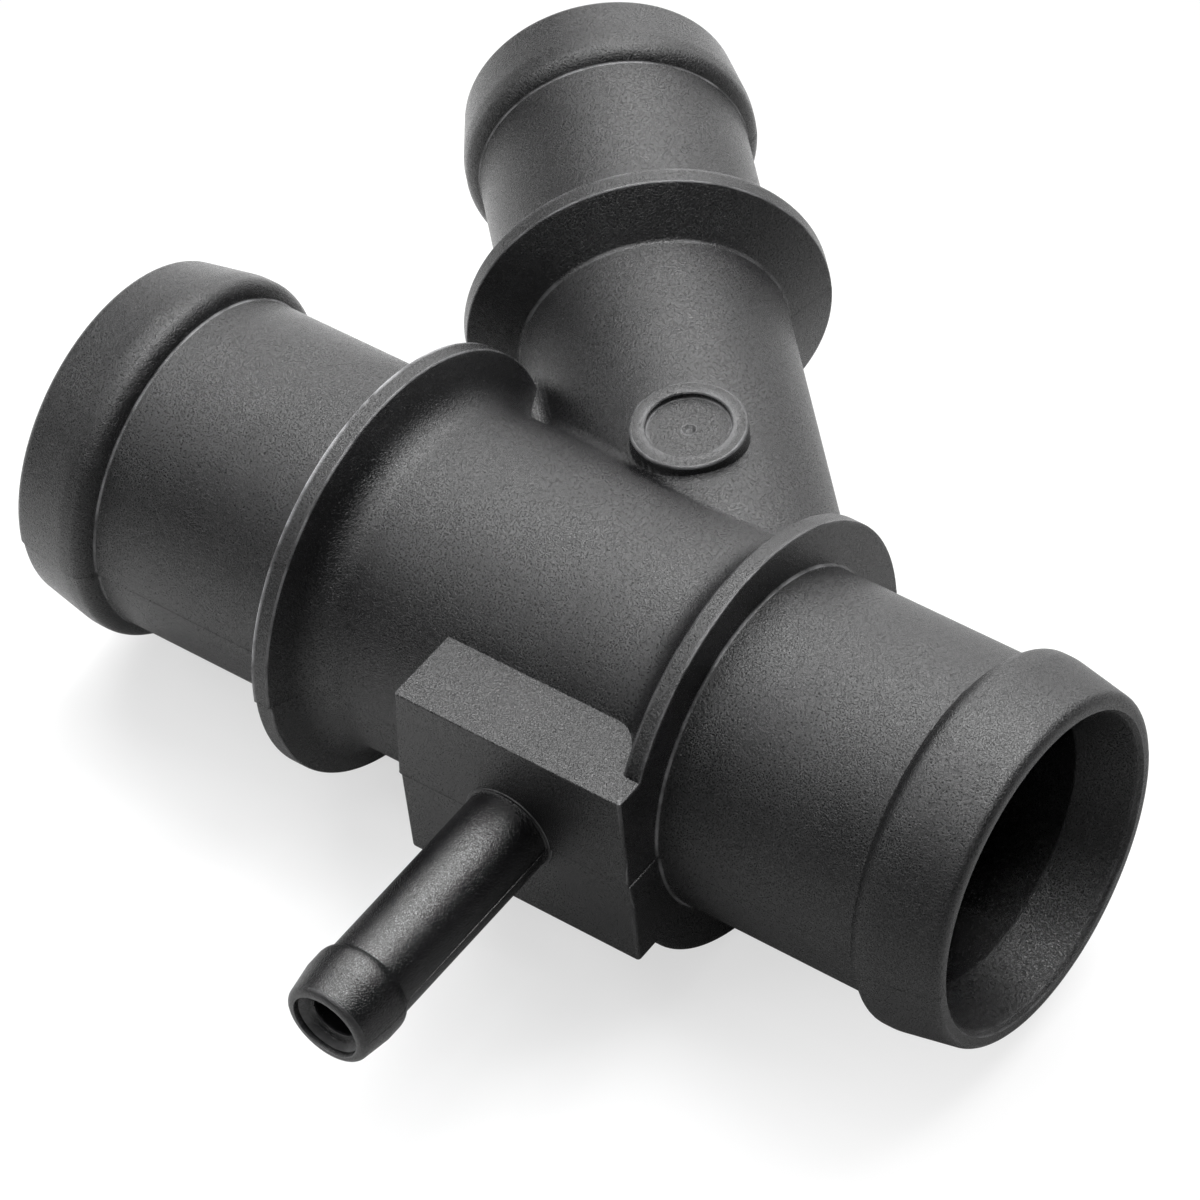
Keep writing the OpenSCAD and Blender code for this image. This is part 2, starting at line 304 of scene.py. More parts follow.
def mouth(end, mouth_r, bore_r, detail):
    """Corners of a waterway's flared mouth, from the bore out past the pipe end."""
    bore_edge, mouth_edge = 0.5 * MM, 0.15 * MM
    lip = mouth_r + 0.8 * detail.chamfer
    return [
        (end - detail.chamfer - detail.flare, bore_r, bore_edge),
        (end - detail.chamfer, mouth_r, mouth_edge),
        (end, lip, 0),
        (end + PAST, lip, 0),
        (end + PAST, 0, 0),
    ]


def mirrored(corners):
    """The same corners for the other end of the run."""
    return [(-s, r, fillet) for s, r, fillet in reversed(corners)]


# Meshes

def link(name, mesh):
    """A new object that holds mesh, in the scene."""
    obj = bpy.data.objects.new(name, mesh)
    bpy.context.scene.collection.objects.link(obj)
    return obj


def evaluated_mesh(obj):
    """A plain mesh of obj with its modifiers applied."""
    bpy.context.view_layer.update()
    graph = bpy.context.evaluated_depsgraph_get()
    return bpy.data.meshes.new_from_object(obj.evaluated_get(graph))


def mesh_from(name, verts, faces):
    """A mesh with its doubles merged and its faces pointing outwards."""
    mesh = bpy.data.meshes.new(name)
    mesh.from_pydata([tuple(v) for v in verts], [], faces)
    tidy_normals(mesh)
    return mesh


def tidy_normals(mesh):
    """Merges doubles and turns every face outwards."""
    bm = bmesh.new()
    bm.from_mesh(mesh)
    bmesh.ops.remove_doubles(bm, verts=bm.verts, dist=WELD)
    bmesh.ops.recalc_face_normals(bm, faces=bm.faces)
    bm.to_mesh(mesh)
    bm.free()


def revolve_tree():
    """Geometry Nodes that turn an outline in the XY plane about the X axis."""
    tree = bpy.data.node_groups.new("Revolve Outline", "GeometryNodeTree")
    face = tree.interface
    face.new_socket("Outline", in_out="INPUT", socket_type="NodeSocketGeometry")
    face.new_socket("Facets", in_out="INPUT", socket_type="NodeSocketInt")
    face.new_socket("Material", in_out="INPUT", socket_type="NodeSocketMaterial")
    face.new_socket("Solid", in_out="OUTPUT", socket_type="NodeSocketGeometry")
    nodes, links = tree.nodes, tree.links
    given = nodes.new("NodeGroupInput")
    made = nodes.new("NodeGroupOutput")

    count = nodes.new("GeometryNodeAttributeDomainSize")
    columns = nodes.new("FunctionNodeIntegerMath")
    columns.operation = "ADD"
    columns.inputs[1].default_value = 1
    grid = nodes.new("GeometryNodeMeshGrid")
    links.new(given.outputs["Outline"], count.inputs[0])
    links.new(given.outputs["Facets"], columns.inputs[0])
    links.new(count.outputs["Point Count"], grid.inputs["Vertices X"])
    links.new(columns.outputs[0], grid.inputs["Vertices Y"])

    # Each row of the grid is one outline point, each column one angle.
    index = nodes.new("GeometryNodeInputIndex")
    row = nodes.new("FunctionNodeIntegerMath")
    row.operation = "DIVIDE_FLOOR"
    column = nodes.new("FunctionNodeIntegerMath")
    column.operation = "MODULO"
    for split in (row, column):
        links.new(index.outputs[0], split.inputs[0])
        links.new(columns.outputs[0], split.inputs[1])

    point = nodes.new("GeometryNodeSampleIndex")
    point.data_type = "FLOAT_VECTOR"
    place = nodes.new("GeometryNodeInputPosition")
    links.new(given.outputs["Outline"], point.inputs["Geometry"])
    links.new(place.outputs[0], point.inputs["Value"])
    links.new(row.outputs[0], point.inputs["Index"])

    turn = nodes.new("ShaderNodeMath")
    turn.operation = "DIVIDE"
    angle = nodes.new("ShaderNodeMath")
    angle.operation = "MULTIPLY"
    angle.inputs[1].default_value = math.tau
    links.new(column.outputs[0], turn.inputs[0])
    links.new(given.outputs["Facets"], turn.inputs[1])
    links.new(turn.outputs[0], angle.inputs[0])

    spin = nodes.new("ShaderNodeVectorRotate")
    spin.rotation_type = "X_AXIS"
    links.new(point.outputs["Value"], spin.inputs["Vector"])
    links.new(angle.outputs[0], spin.inputs["Angle"])

    move = nodes.new("GeometryNodeSetPosition")
    weld = nodes.new("GeometryNodeMergeByDistance")
    weld.inputs["Distance"].default_value = WELD
    real = nodes.new("GeometryNodeRealizeInstances")
    coat = nodes.new("GeometryNodeSetMaterial")
    links.new(grid.outputs["Mesh"], move.inputs["Geometry"])
    links.new(spin.outputs[0], move.inputs["Position"])
    links.new(move.outputs[0], weld.inputs["Geometry"])
    links.new(weld.outputs[0], real.inputs[0])
    links.new(real.outputs[0], coat.inputs["Geometry"])
    links.new(given.outputs["Material"], coat.inputs["Material"])
    links.new(coat.outputs[0], made.inputs[0])
    return tree


def input_key(tree, name):
    """Identifier of a tree's input, by its name."""
    return next(item.identifier for item in tree.interface.items_tree
                if item.item_type == "SOCKET" and item.in_out == "INPUT" and item.name == name)


def turned(name, corners, axis=Vector((1, 0, 0)), origin=Vector()):
    """An object revolved from corners about axis, which starts at origin."""
    tree = bpy.data.node_groups.get("Revolve Outline") or revolve_tree()
    outline = rounded(corners)
    edges = [(i, i + 1) for i in range(len(outline) - 1)]
    mesh = bpy.data.meshes.new(name)
    mesh.from_pydata([(s, r, 0) for s, r in outline], edges, [])
    obj = link(name, mesh)
    revolve = obj.modifiers.new("Revolve", "NODES")
    revolve.node_group = tree
    revolve[input_key(tree, "Facets")] = bpy.context.scene.pipe_moulding.segments
    revolve[input_key(tree, "Material")] = bpy.data.materials[SKIN]
    solid = evaluated_mesh(obj)
    obj.modifiers.clear()
    obj.data = solid
    tidy_normals(solid)
    aim = Vector((1, 0, 0)).rotation_difference(axis).to_matrix().to_4x4()
    solid.transform(Matrix.Translation(origin) @ aim)
    return obj


def combine(base, tool, operation):
    """Applies one Boolean operation to base and deletes the tool."""
    cut = base.modifiers.new("Combine", "BOOLEAN")
    cut.solver = "MANIFOLD"
    cut.operation = operation
    cut.object = tool
    mesh = evaluated_mesh(base)
    base.modifiers.clear()
    base.data = mesh
    bpy.data.objects.remove(tool)
    if not mesh.polygons:
        raise RuntimeError(f"{operation} left nothing of {base.name}")
    return base


def prism(name, outline, depth, matrix):
    """A closed solid: a flat outline, raised by depth along its own Z and placed by matrix."""
    n = len(outline)
    verts = [matrix @ Vector((x, y, z)) for z in (0, depth) for x, y in outline]
    sides = [(i, (i + 1) % n, n + (i + 1) % n, n + i) for i in range(n)]
    return link(name, mesh_from(name, verts, [tuple(range(n)), tuple(range(n, 2 * n)), *sides]))


# Sub-shapes of the moulding

def run_outside(run, detail):
    """The straight run: both spigots, both flanges and the body between them."""
    right = run_spigot(run, detail, run.flange_right_x, run.flange_right_d,
                       detail.rim_right_r, run.port_right, SEAT_HIGH.x)
    left = run_spigot(run, detail, -run.flange_left_x, run.flange_left_d,
                      detail.rim_left_r, run.port_left, -SEAT_LOW.x)
    return turned("run", [(SEAT_LOW.x, 0, 0), *mirrored(left), *right, (SEAT_HIGH.x, 0, 0)])


def branch_outside(branch, detail):
    """The slanted branch with its flange and spigot."""
    near, cone_foot = branch.flange_s - detail.rim, 0.5 * MM
    tube_r, flange_r, port_r = branch.tube_d / 2, branch.flange_d / 2, branch.port_d / 2
    corners = [
        (0, 0, 0),
        (0, tube_r, 0),
        (near - branch.cone, tube_r, cone_foot),
        (near, flange_r, detail.rim_left_r),
        (branch.flange_s, flange_r, detail.rim_r),
        (branch.flange_s, port_r, detail.foot_r),
        *bead(branch.flange_s + branch.port, port_r, branch.bead_d / 2, detail.bead_rise,
              detail.bead_flat, detail.crest_r, branch.end_s, branch.end_d / 2, branch.end_r),
        (branch.end_s, 0, 0),
    ]
    return turned("branch", corners, BRANCH_AXIS)


def crotch_fillet(run, branch, steps=180, arc_steps=6):
    """The strip that a ball leaves as it rolls along both the branch and the run.

    Its edges sink a little into both walls, and its back lies inner to deep inside them.
    """
    body_r, tube_r, ball = run.body_d / 2, branch.tube_d / 2, branch.crotch_r
    sink, inner, deep = 0.03 * MM, 0.8 * MM, 1.2 * MM
    along = np.array(BRANCH_AXIS)
    across = np.array((-along[1], along[0], 0))

    def meet(side, off_run, off_branch):
        """Point at these distances outside the run and the branch, on one side."""
        z = (tube_r + off_branch) * side[2]
        flat = (tube_r + off_branch) * side
        s = (math.sqrt((body_r + off_run) ** 2 - z * z) - flat[1]) / along[1]
        return s * along + flat

    verts = []
    for a in np.linspace(0, math.tau, steps, endpoint=False):
        side = math.cos(a) * across + np.array((0, 0, math.sin(a)))
        centre = meet(side, ball, ball)
        to_run = -np.array((0, centre[1], centre[2])) / math.hypot(centre[1], centre[2])
        to_tube = -side
        wide = math.acos(to_run @ to_tube)
        for k in range(arc_steps + 1):
            t = k / arc_steps
            ray = math.sin(wide * (1 - t)) * to_run + math.sin(wide * t) * to_tube
            reach = ball + (sink if k in (0, arc_steps) else 0)
            verts.append(centre + reach * ray / math.sin(wide))
        verts.append(centre + (ball + sink + inner) * to_tube)
        verts.append(meet(side, -deep, -deep))
        verts.append(centre + (ball + inner) * to_run)
    n = arc_steps + 4
    faces = [(i * n + k, i * n + (k + 1) % n, (i + 1) % steps * n + (k + 1) % n,
              (i + 1) % steps * n + k) for i in range(steps) for k in range(n)]
    return link("crotch", mesh_from("crotch", verts, faces))


def crotch_plan(run, branch, detail, half_h):
    """Plan of the corner between the left flange, the run and the branch, as a solid.

    Its outboard corner lies into_tube inside the branch, and its last one on the branch's axis,
    at the share last of the way.
    """
    reach = -run.flange_left_x - detail.rim / 2
    slope = -BRANCH_AXIS.y / BRANCH_AXIS.x
    across = branch.tube_d / 2 / abs(BRANCH_AXIS.x)
    into_tube, last = 2.6 * MM, 0.9
    outline = [(0, 0), (-reach, 0), (-reach, reach * slope - across + into_tube),
               (-last * reach, last * reach * slope)]
    return prism("plan", outline, 2 * half_h, Matrix.Translation((0, 0, -half_h)))


def web_fillet(run, branch, detail):
    """Fillet from the level web up and down to the branch tube."""
    f, tube_r = branch.web_r, branch.tube_d / 2
    z = branch.web_half + f
    out = math.sqrt((tube_r + f) ** 2 - z * z)
    lean = math.atan2(z, out)
    angles = np.linspace(1.5 * math.pi, math.pi + lean, 9)
    upper = [(out, branch.web_half)]
    upper += [(out + f * math.cos(a), z + f * math.sin(a)) for a in angles]
    inside = tube_r - PAST
    upper += [(inside * math.cos(lean), inside * math.sin(lean))]
    outline = upper + [(x, -y) for x, y in reversed(upper)]
    towards_crotch = Vector((-BRANCH_AXIS.y, BRANCH_AXIS.x, 0))
    stand = Matrix((towards_crotch, (0, 0, 1), BRANCH_AXIS)).transposed().to_4x4()
    strip = prism("web fillet", outline, branch.flange_s, stand)
    return combine(strip, crotch_plan(run, branch, detail, z + f), "INTERSECT")


def boss(branch):
    """The round boss on the branch."""
    r, top = branch.boss_d / 2, branch.boss_z
    draft, edge = 0.1 * MM, 0.28 * MM
    corners = [(0, 0, 0), (0, r, 0), (top, r - draft, edge), (top, 0, 0)]
    return turned("boss", corners, Vector((0, 0, 1)), BRANCH_AXIS * branch.boss_s)


def boss_recess(branch):
    """Cutter for the shallow recess and its centre mark."""
    r, mark, floor = branch.recess_d / 2, branch.mark_d / 2, branch.boss_z - branch.recess
    mark_floor, lip = floor - 0.22 * MM, 0.1 * MM
    mark_foot, mark_edge, recess_foot = 0.1 * MM, 0.06 * MM, 0.14 * MM
    corners = [
        (mark_floor, 0, 0),
        (mark_floor, mark * 0.5, mark_foot),
        (floor, mark, mark_edge),
        (floor, r, recess_foot),
        (branch.boss_z - lip, r, 0),
        (branch.boss_z + PAST, r + PAST + lip, 0),
        (branch.boss_z + PAST, 0, 0),
    ]
    return turned("recess", corners, Vector((0, 0, 1)), BRANCH_AXIS * branch.boss_s)


def block(run, side):
    """The block beside the run: drafted front and left end, sharp above, rounded below."""
    left, right = run.flange_right_x - side.block, run.flange_right_x
    verts = []
    for z in (-side.bottom, 0, side.top):
        front = -side.front + (side.front_draft if z else 0)
        end = left + (side.end_draft if z > 0 else 0)
        verts += [(end, 0, z), (end, front, z), (right, front, z), (right, 0, z)]
    faces = [(0, 1, 2, 3), (8, 9, 10, 11)]
    faces += [(k + i, k + (i + 1) % 4, k + 4 + (i + 1) % 4, k + 4 + i)
              for k in (0, 4) for i in range(4)]
    mesh = mesh_from("block", verts, faces)
    bm = bmesh.new()
    bm.from_mesh(mesh)
    # An edge lies in the top or underside when its ends are within near of it. One higher than
    # tall is upright. A bend, in radians, sets the block's own edges apart from the drafts' lines.
    near, tall, bend = 0.1 * MM, 2 * MM, 1.0

    def shows(edge):
        """True for an edge of the block that isn't buried on the run's axis."""
        return any(v.co.y < -PAST for v in edge.verts) and edge.calc_face_angle(0) > bend

    def round_off(edges, radius, steps):
        """Rounds the edges by radius."""
        bmesh.ops.bevel(bm, geom=edges, offset=radius, segments=steps, profile=0.5,
                        affect="EDGES", clamp_overlap=True)

    def upright(edge):
        """True for the front's upright edges."""
        a, b = (v.co for v in edge.verts)
        return max(a.y, b.y) < -tall and abs(a.z - b.z) > tall

    round_off([e for e in bm.edges if upright(e) and shows(e)], side.corner_r, 4)
    low = -side.bottom + near
    round_off([e for e in bm.edges if shows(e) and all(v.co.z < low for v in e.verts)],
              side.low_r, 8)
    high = side.top - near
    round_off([e for e in bm.edges if shows(e) and all(v.co.z > high for v in e.verts)],
              side.top_r, 3)
    bm.to_mesh(mesh)
    bm.free()
    return link("block", mesh)


def nipple_outside(side):
    """The small nipple on the block's front."""
    r, front, end = side.nipple_d / 2, side.front, -SEAT_LOW.y
    root, collar, collar_r = front - 3 * MM, front + 0.12 * MM, r + side.collar
    collar_edge, collar_fillet = 0.05 * MM, 0.16 * MM
    rise, flat, crest_edge = 1.2 * MM, 1.4 * MM, 0.8 * MM
    end_taper, end_edge = 0.05 * MM, 0.65 * MM
    corners = [
        (root, 0, 0),
        (root, collar_r, 0),
        (collar, collar_r, collar_edge),
        (collar, r, collar_fillet),
        *bead(end - side.bead, r, side.bead_d / 2, rise, flat, crest_edge, end,
              r - end_taper, end_edge),
        (end, 0, 0),
    ]
    nipple = turned("nipple", corners, NIPPLE_AXIS, NIPPLE_ROOT)
    # The collar follows the draft of the block's front.
    for v in nipple.data.vertices:
        if -v.co.y < front + PAST:
            v.co.y += side.front_draft * abs(v.co.z) / side.top
    return nipple


def waterways(run, branch, side, detail):
    """Cutters for the run, the branch and the nipple."""
    run_out = mouth(SEAT_HIGH.x, run.mouth_d / 2, run.bore_d / 2, detail)
    run_back = mouth(-SEAT_LOW.x, run.mouth_d / 2, run.bore_d / 2, detail)
    yield turned("run bore", [*mirrored(run_back), *run_out])
    branch_out = mouth(branch.end_s, branch.mouth_d / 2, branch.bore_d / 2, detail)
    yield turned("branch bore", [(0, 0, 0), (0, branch.bore_d / 2, 0), *branch_out], BRANCH_AXIS)
    end, bore_r, mouth_r = -SEAT_LOW.y, side.bore_d / 2, side.mouth_d / 2
    cone, step, lip = end - 1.4 * MM, end - 0.5 * MM, end - 0.1 * MM
    edge, flare = 0.1 * MM, 0.6 * MM
    nipple_out = [
        (0, 0, 0),
        (0, bore_r, 0),
        (cone, bore_r, edge),
        (step, mouth_r - edge, 0),
        (step, mouth_r, 0),
        (lip, mouth_r, 0),
        (end + PAST, mouth_r + flare, 0),
        (end + PAST, 0, 0),
    ]
    yield turned("nipple bore", nipple_out, NIPPLE_AXIS, NIPPLE_ROOT)


# Places across the run, in millimetres, with the share of the mould shift and flash there:
# both fade out along the nipple and towards the branch.
SHIFT_PLACES = (-26, -20.5, -5, 12)
SHIFT_SHARES = (0.1, 1, 1, 0.1)


def part_moulds(obj, detail):
    """Shifts the lower mould half a little and raises the thin flash where the halves meet."""
    half = detail.seam_half
    bm = bmesh.new()
    bm.from_mesh(obj.data)
    for z in (-half, 0, half):
        bmesh.ops.bisect_plane(bm, geom=[*bm.verts, *bm.edges, *bm.faces], dist=WELD / 10,
                               plane_co=(0, 0, z), plane_no=(0, 0, 1))
    bm.normal_update()
    shift = Vector((detail.shift_x, detail.shift_y, 0))
    for v in bm.verts:
        x, y = v.co.x / MM, v.co.y / MM
        share = float(np.interp(y, SHIFT_PLACES, SHIFT_SHARES))
        if abs(v.co.z) < WELD:
            # Two waves, about 6 and 2 mm long, make the flash uneven.
            uneven = 0.4 + 0.35 * math.sin(0.9 * x + 0.5 * y) + 0.25 * math.sin(2.3 * x - 1.7 * y)
            out = Vector((v.normal.x, v.normal.y, 0)).normalized()
            v.co += out * detail.seam * share * uneven
        elif v.co.z < 0:
            v.co += shift * share
    bm.to_mesh(obj.data)
    bm.free()


def keep_inside(mesh, low, high):
    """Holds every point in the frame's box, so the seam never makes the part larger."""
    n = len(mesh.vertices)
    co = np.empty(3 * n, np.float32)
    mesh.vertices.foreach_get("co", co)
    co = np.clip(co.reshape(n, 3), np.array(low), np.array(high)).astype(np.float32)
    mesh.vertices.foreach_set("co", co.ravel())


# Shares of the pale edge colour: a painted highlight on the left flange's outboard rim, rubbing
# and a painted highlight on other edges, and a painted highlight in a foot's concave corner.
RIM_HIGHLIGHT, EDGE_HIGHLIGHT_AND_WEAR, FOOT_HIGHLIGHT = 1.0, 0.22, 0.3
# Curvature, in 1/m, at which an edge starts to take that pale colour, and the span to its full
# share.
HIGHLIGHT_AND_WEAR_FROM, HIGHLIGHT_AND_WEAR_SPAN = 250, 700
# Feet are marked left of and behind these places, and only where edges are short.
FOOT_RIGHT, FOOT_FRONT, FOOT_EDGE = 10 * MM, -19 * MM, 1.2 * MM


def mark_edges(mesh, run, sharp=math.radians(33)):
    """Smooth faces, sharp creases, and an attribute for the pale edge colour that is high on small
    radii.

    That colour is partly rubbing and partly a painted highlight. The left flange's outboard edge
    gets the most of it, as a painted highlight. The feet of the ports and of the left and branch
    beads get a fine pale line, a painted highlight in their concave corner. The flash along the
    parting line is left as it is.
    """
    bm = bmesh.new()
    bm.from_mesh(mesh)
    bmesh.ops.remove_doubles(bm, verts=bm.verts, dist=10 * WELD)
    bmesh.ops.dissolve_degenerate(bm, edges=bm.edges, dist=10 * WELD)
    bmesh.ops.connect_verts_concave(bm, faces=[f for f in bm.faces if len(f.verts) > 4])
    bm.normal_update()
    for face in bm.faces:
        face.smooth = True
    for edge in bm.edges:
        edge.smooth = not edge.is_manifold or edge.calc_face_angle(0) < sharp
    # The attribute paints a pale colour on small radii: rubbing, and a painted highlight.
    layer = bm.verts.layers.float.new("edge_highlight_and_wear")
    # Faces with a larger area than wide are plain walls, and the parting line's flash lies within
    # the height flash. The edge with the strongest painted highlight is found by its place and its
    # reach.
    wide, flash, rim_edge = (1.1 * MM) ** 2, 0.1 * MM, 0.12 * MM
    rim_reach = run.flange_left_d / 2 + rim_edge
    for v in bm.verts:
        if abs(v.co.z) < flash or any(f.calc_area() > wide for f in v.link_faces):
            continue
        x, y = v.co.x, v.co.y
        bends = [(v.co - e.other_vert(v).co) for e in v.link_edges]
        curve = sum(v.normal.dot(d) / max(d.length_squared, 1e-14) for d in bends) / len(bends)
        if curve < 0:
            short = all(e.calc_length() < FOOT_EDGE for e in v.link_edges)
            share = FOOT_HIGHLIGHT if short and x < FOOT_RIGHT and y > FOOT_FRONT else 0.0
        else:
            on_rim = abs(x - run.flange_left_x) < rim_edge and abs(y) < rim_reach
            share = RIM_HIGHLIGHT if on_rim else EDGE_HIGHLIGHT_AND_WEAR
        v[layer] = share * min(1.0, max(0.0, (abs(curve) - HIGHLIGHT_AND_WEAR_FROM) / HIGHLIGHT_AND_WEAR_SPAN))
    bm.to_mesh(mesh)
    bm.free()


# Materials

def shader(material):
    """Nodes, links and the Principled shader of a new node material."""
    material.use_nodes = True
    nodes = material.node_tree.nodes
    return nodes, material.node_tree.links, nodes["Principled BSDF"]


def remap(nodes, source, low, high, out_low, out_high):
    """A Map Range node that takes source from one range to another, held at both ends."""
    node = nodes.new("ShaderNodeMapRange")
    for name, value in zip(("From Min", "From Max", "To Min", "To Max"),
                           (low, high, out_low, out_high)):
        node.inputs[name].default_value = value
    nodes.id_data.links.new(source, node.inputs["Value"])
    return node


def math_node(nodes, operation, a, b):
    """The output of a Math node that works on two sockets."""
    node = nodes.new("ShaderNodeMath")
    node.operation = operation
    nodes.id_data.links.new(a, node.inputs[0])
    nodes.id_data.links.new(b, node.inputs[1])
    return node.outputs[0]


def nylon(finish, nipple_start):
    """Black glass-filled nylon: mould grain, faint flow clouds, paler fibres, and edges made paler
    by rubbing and by a painted highlight.

    The smoother finish of the nipple sets in just outboard of nipple_start.
    """
    material = bpy.data.materials.new(SKIN)
    nodes, links, skin = shader(material)
    skin.inputs["IOR"].default_value = 1.53
    polished_y, grained_y = nipple_start - 1.0 * MM, nipple_start - 0.4 * MM
    # Most of a noise's values lie between low and high.
    low, high = 0.3, 0.7
    grain_polish, cloud_polish, highlight_and_wear_polish = 0.05, 0.03, 0.08
    cloud_share, fibre_share, least_highlighted_and_rubbed = 0.32, 0.5, 0.25
    wave_size, wave_height, wave_strength = 5 * MM, 0.15 * MM, 0.25
    where = nodes.new("ShaderNodeTexCoord")

    def noise(size, detail, roughness=0.5, distortion=0.0):
        """Noise whose cells are about size metres wide."""
        node = nodes.new("ShaderNodeTexNoise")
        node.inputs["Scale"].default_value = 1 / size
        node.inputs["Detail"].default_value = detail
        node.inputs["Roughness"].default_value = roughness
        node.inputs["Distortion"].default_value = distortion
        links.new(where.outputs["Object"], node.inputs["Vector"])
        return node

    def spread(source, start, stop, out_start, out_stop):
        """Maps a value from one range to another."""
        return remap(nodes, source, start, stop, out_start, out_stop).outputs["Result"]

    def add(a, b):
        """Sum of two values."""
        return math_node(nodes, "ADD", a, b)

    grain = noise(finish.grain_size, 2, 0.5, 0.7)
    clouds = noise(9 * MM, 3)
    fibres = noise(0.09 * MM, 1)
    highlight_and_wear = nodes.new("ShaderNodeAttribute")
    highlight_and_wear.attribute_name = "edge_highlight_and_wear"

    # Colour: clouds of glass-rich skin, single pale fibres, and pale edges that are partly rubbing
    # and partly a painted highlight.
    pale = add(spread(clouds.outputs["Fac"], 0.38, 0.66, 0.0, cloud_share),
               spread(fibres.outputs["Fac"], 0.66, 0.78, 0.0, fibre_share))
    blend = nodes.new("ShaderNodeMix")
    blend.data_type = "RGBA"
    blend.inputs["A"].default_value = (*finish.colour, 1)
    blend.inputs["B"].default_value = (*finish.bloom, 1)
    links.new(pale, blend.inputs["Factor"])
    # Painted highlight and rubbing on small radii, in patches.
    highlighted_and_rubbed = nodes.new("ShaderNodeMix")
    highlighted_and_rubbed.data_type = "RGBA"
    highlighted_and_rubbed.inputs["B"].default_value = (*finish.highlight_and_wear_colour, 1)
    patches = spread(noise(3 * MM, 3).outputs["Fac"], 0.4, 0.6, least_highlighted_and_rubbed, 1.0)
    links.new(math_node(nodes, "MULTIPLY", highlight_and_wear.outputs["Fac"], patches),
              highlighted_and_rubbed.inputs["Factor"])
    links.new(blend.outputs["Result"], highlighted_and_rubbed.inputs["A"])
    links.new(highlighted_and_rubbed.outputs["Result"], skin.inputs["Base Color"])

    # Roughness: more polish on the grain's tops, on the pale edges and on the nipple.
    rough = add(spread(grain.outputs["Fac"], low, high, finish.roughness + grain_polish,
                       finish.roughness - grain_polish),
                spread(clouds.outputs["Fac"], low, high, -cloud_polish, cloud_polish))
    rough = add(rough, spread(highlight_and_wear.outputs["Fac"], 0.0, 1.0, 0.0, -highlight_and_wear_polish))
    place = nodes.new("ShaderNodeSeparateXYZ")
    links.new(where.outputs["Object"], place.inputs[0])
    rough = add(rough, spread(place.outputs["Y"], polished_y, grained_y,
                              finish.nipple_polish, 0.0))
    links.new(rough, skin.inputs["Roughness"])

    # Shine: the grain's tops throw back more light than its hollows.
    links.new(spread(grain.outputs["Fac"], low, high, 0.5 - finish.glint, 0.5 + finish.glint),
              skin.inputs["Specular IOR Level"])

    # Relief: fine grain over a very slight waviness of the wall.
    waves = nodes.new("ShaderNodeBump")
    waves.inputs["Strength"].default_value = wave_strength
    waves.inputs["Distance"].default_value = wave_height
    links.new(noise(wave_size, 1).outputs["Fac"], waves.inputs["Height"])
    relief = nodes.new("ShaderNodeBump")
    relief.inputs["Distance"].default_value = finish.grain
    links.new(spread(place.outputs["Y"], polished_y, grained_y, finish.nipple_grain, 1.0),
              relief.inputs["Strength"])
    links.new(grain.outputs["Fac"], relief.inputs["Height"])
    links.new(waves.outputs["Normal"], relief.inputs["Normal"])
    links.new(relief.outputs["Normal"], skin.inputs["Normal"])
    return material


# Places on the floor, in metres from its origin: along X the light that it throws back goes
# from full to flagged, and round the part it turns from shadowed to plain white.
FLAG_FROM, FLAG_TO = -0.04, 0.06
GLOW_FROM, GLOW_TO = 0.035, 0.11


def floor_material(studio):
    """Pale floor that keeps its shadow and turns plain white away from the part."""
    material = bpy.data.materials.new("Pale Floor")
    nodes, links, skin = shader(material)
    skin.inputs["Roughness"].default_value = 0.9
    skin.inputs["Specular IOR Level"].default_value = 0.0
    white = nodes.new("ShaderNodeEmission")
    path = nodes.new("ShaderNodeLightPath")
    grey = nodes.new("ShaderNodeMix")
    grey.data_type = "RGBA"
    grey.inputs["B"].default_value = (studio.floor,) * 3 + (1,)
    links.new(path.outputs["Is Camera Ray"], grey.inputs["Factor"])
    links.new(grey.outputs["Result"], skin.inputs["Base Color"])
    where = nodes.new("ShaderNodeTexCoord")
    place = nodes.new("ShaderNodeSeparateXYZ")
    links.new(where.outputs["Object"], place.inputs[0])
    flagged = remap(nodes, place.outputs["X"], FLAG_FROM, FLAG_TO, studio.bounce, studio.flag)
    links.new(flagged.outputs["Result"], grey.inputs["A"])
    away = nodes.new("ShaderNodeVectorMath")
    away.operation = "LENGTH"
    links.new(where.outputs["Object"], away.inputs[0])
    far = remap(nodes, away.outputs["Value"], GLOW_FROM, GLOW_TO, studio.glow, 1.0)
    far.interpolation_type = "SMOOTHSTEP"
    seen = math_node(nodes, "MULTIPLY", far.outputs["Result"], path.outputs["Is Camera Ray"])
    mix = nodes.new("ShaderNodeMixShader")
    links.new(seen, mix.inputs[0])
    links.new(skin.outputs[0], mix.inputs[1])
    links.new(white.outputs[0], mix.inputs[2])
    links.new(mix.outputs[0], nodes["Material Output"].inputs["Surface"])
    return material


# The soft cards, in metres and degrees: how far off they stand and how high they are, then
# each ring's elevation and width of card, with the brightness at each azimuth.
CARD_DISTANCE, CARD_HEIGHT = 1.2, 0.36
RINGS = (
    (12, 0.60, {180: 2.4, 210: 2.5}),
    (33, 0.44, {190: 6.8, 215: 3.1, 290: 3.9}),
    (52, 0.34, {150: 9.8, 190: 8.0, 210: 4.9, 230: 4.6, 250: 5.8, 330: 3.8, 20: 4.4}),
    (62, 0.16, {131: 13.0}),
    (70, 0.30, {150: 6.0, 180: 10.2, 210: 4.6, 270: 5.8, 300: 4.6, 0: 5.6, 110: 7.1}),
    (88, 0.36, {200: 5.6}),
)


# Operators

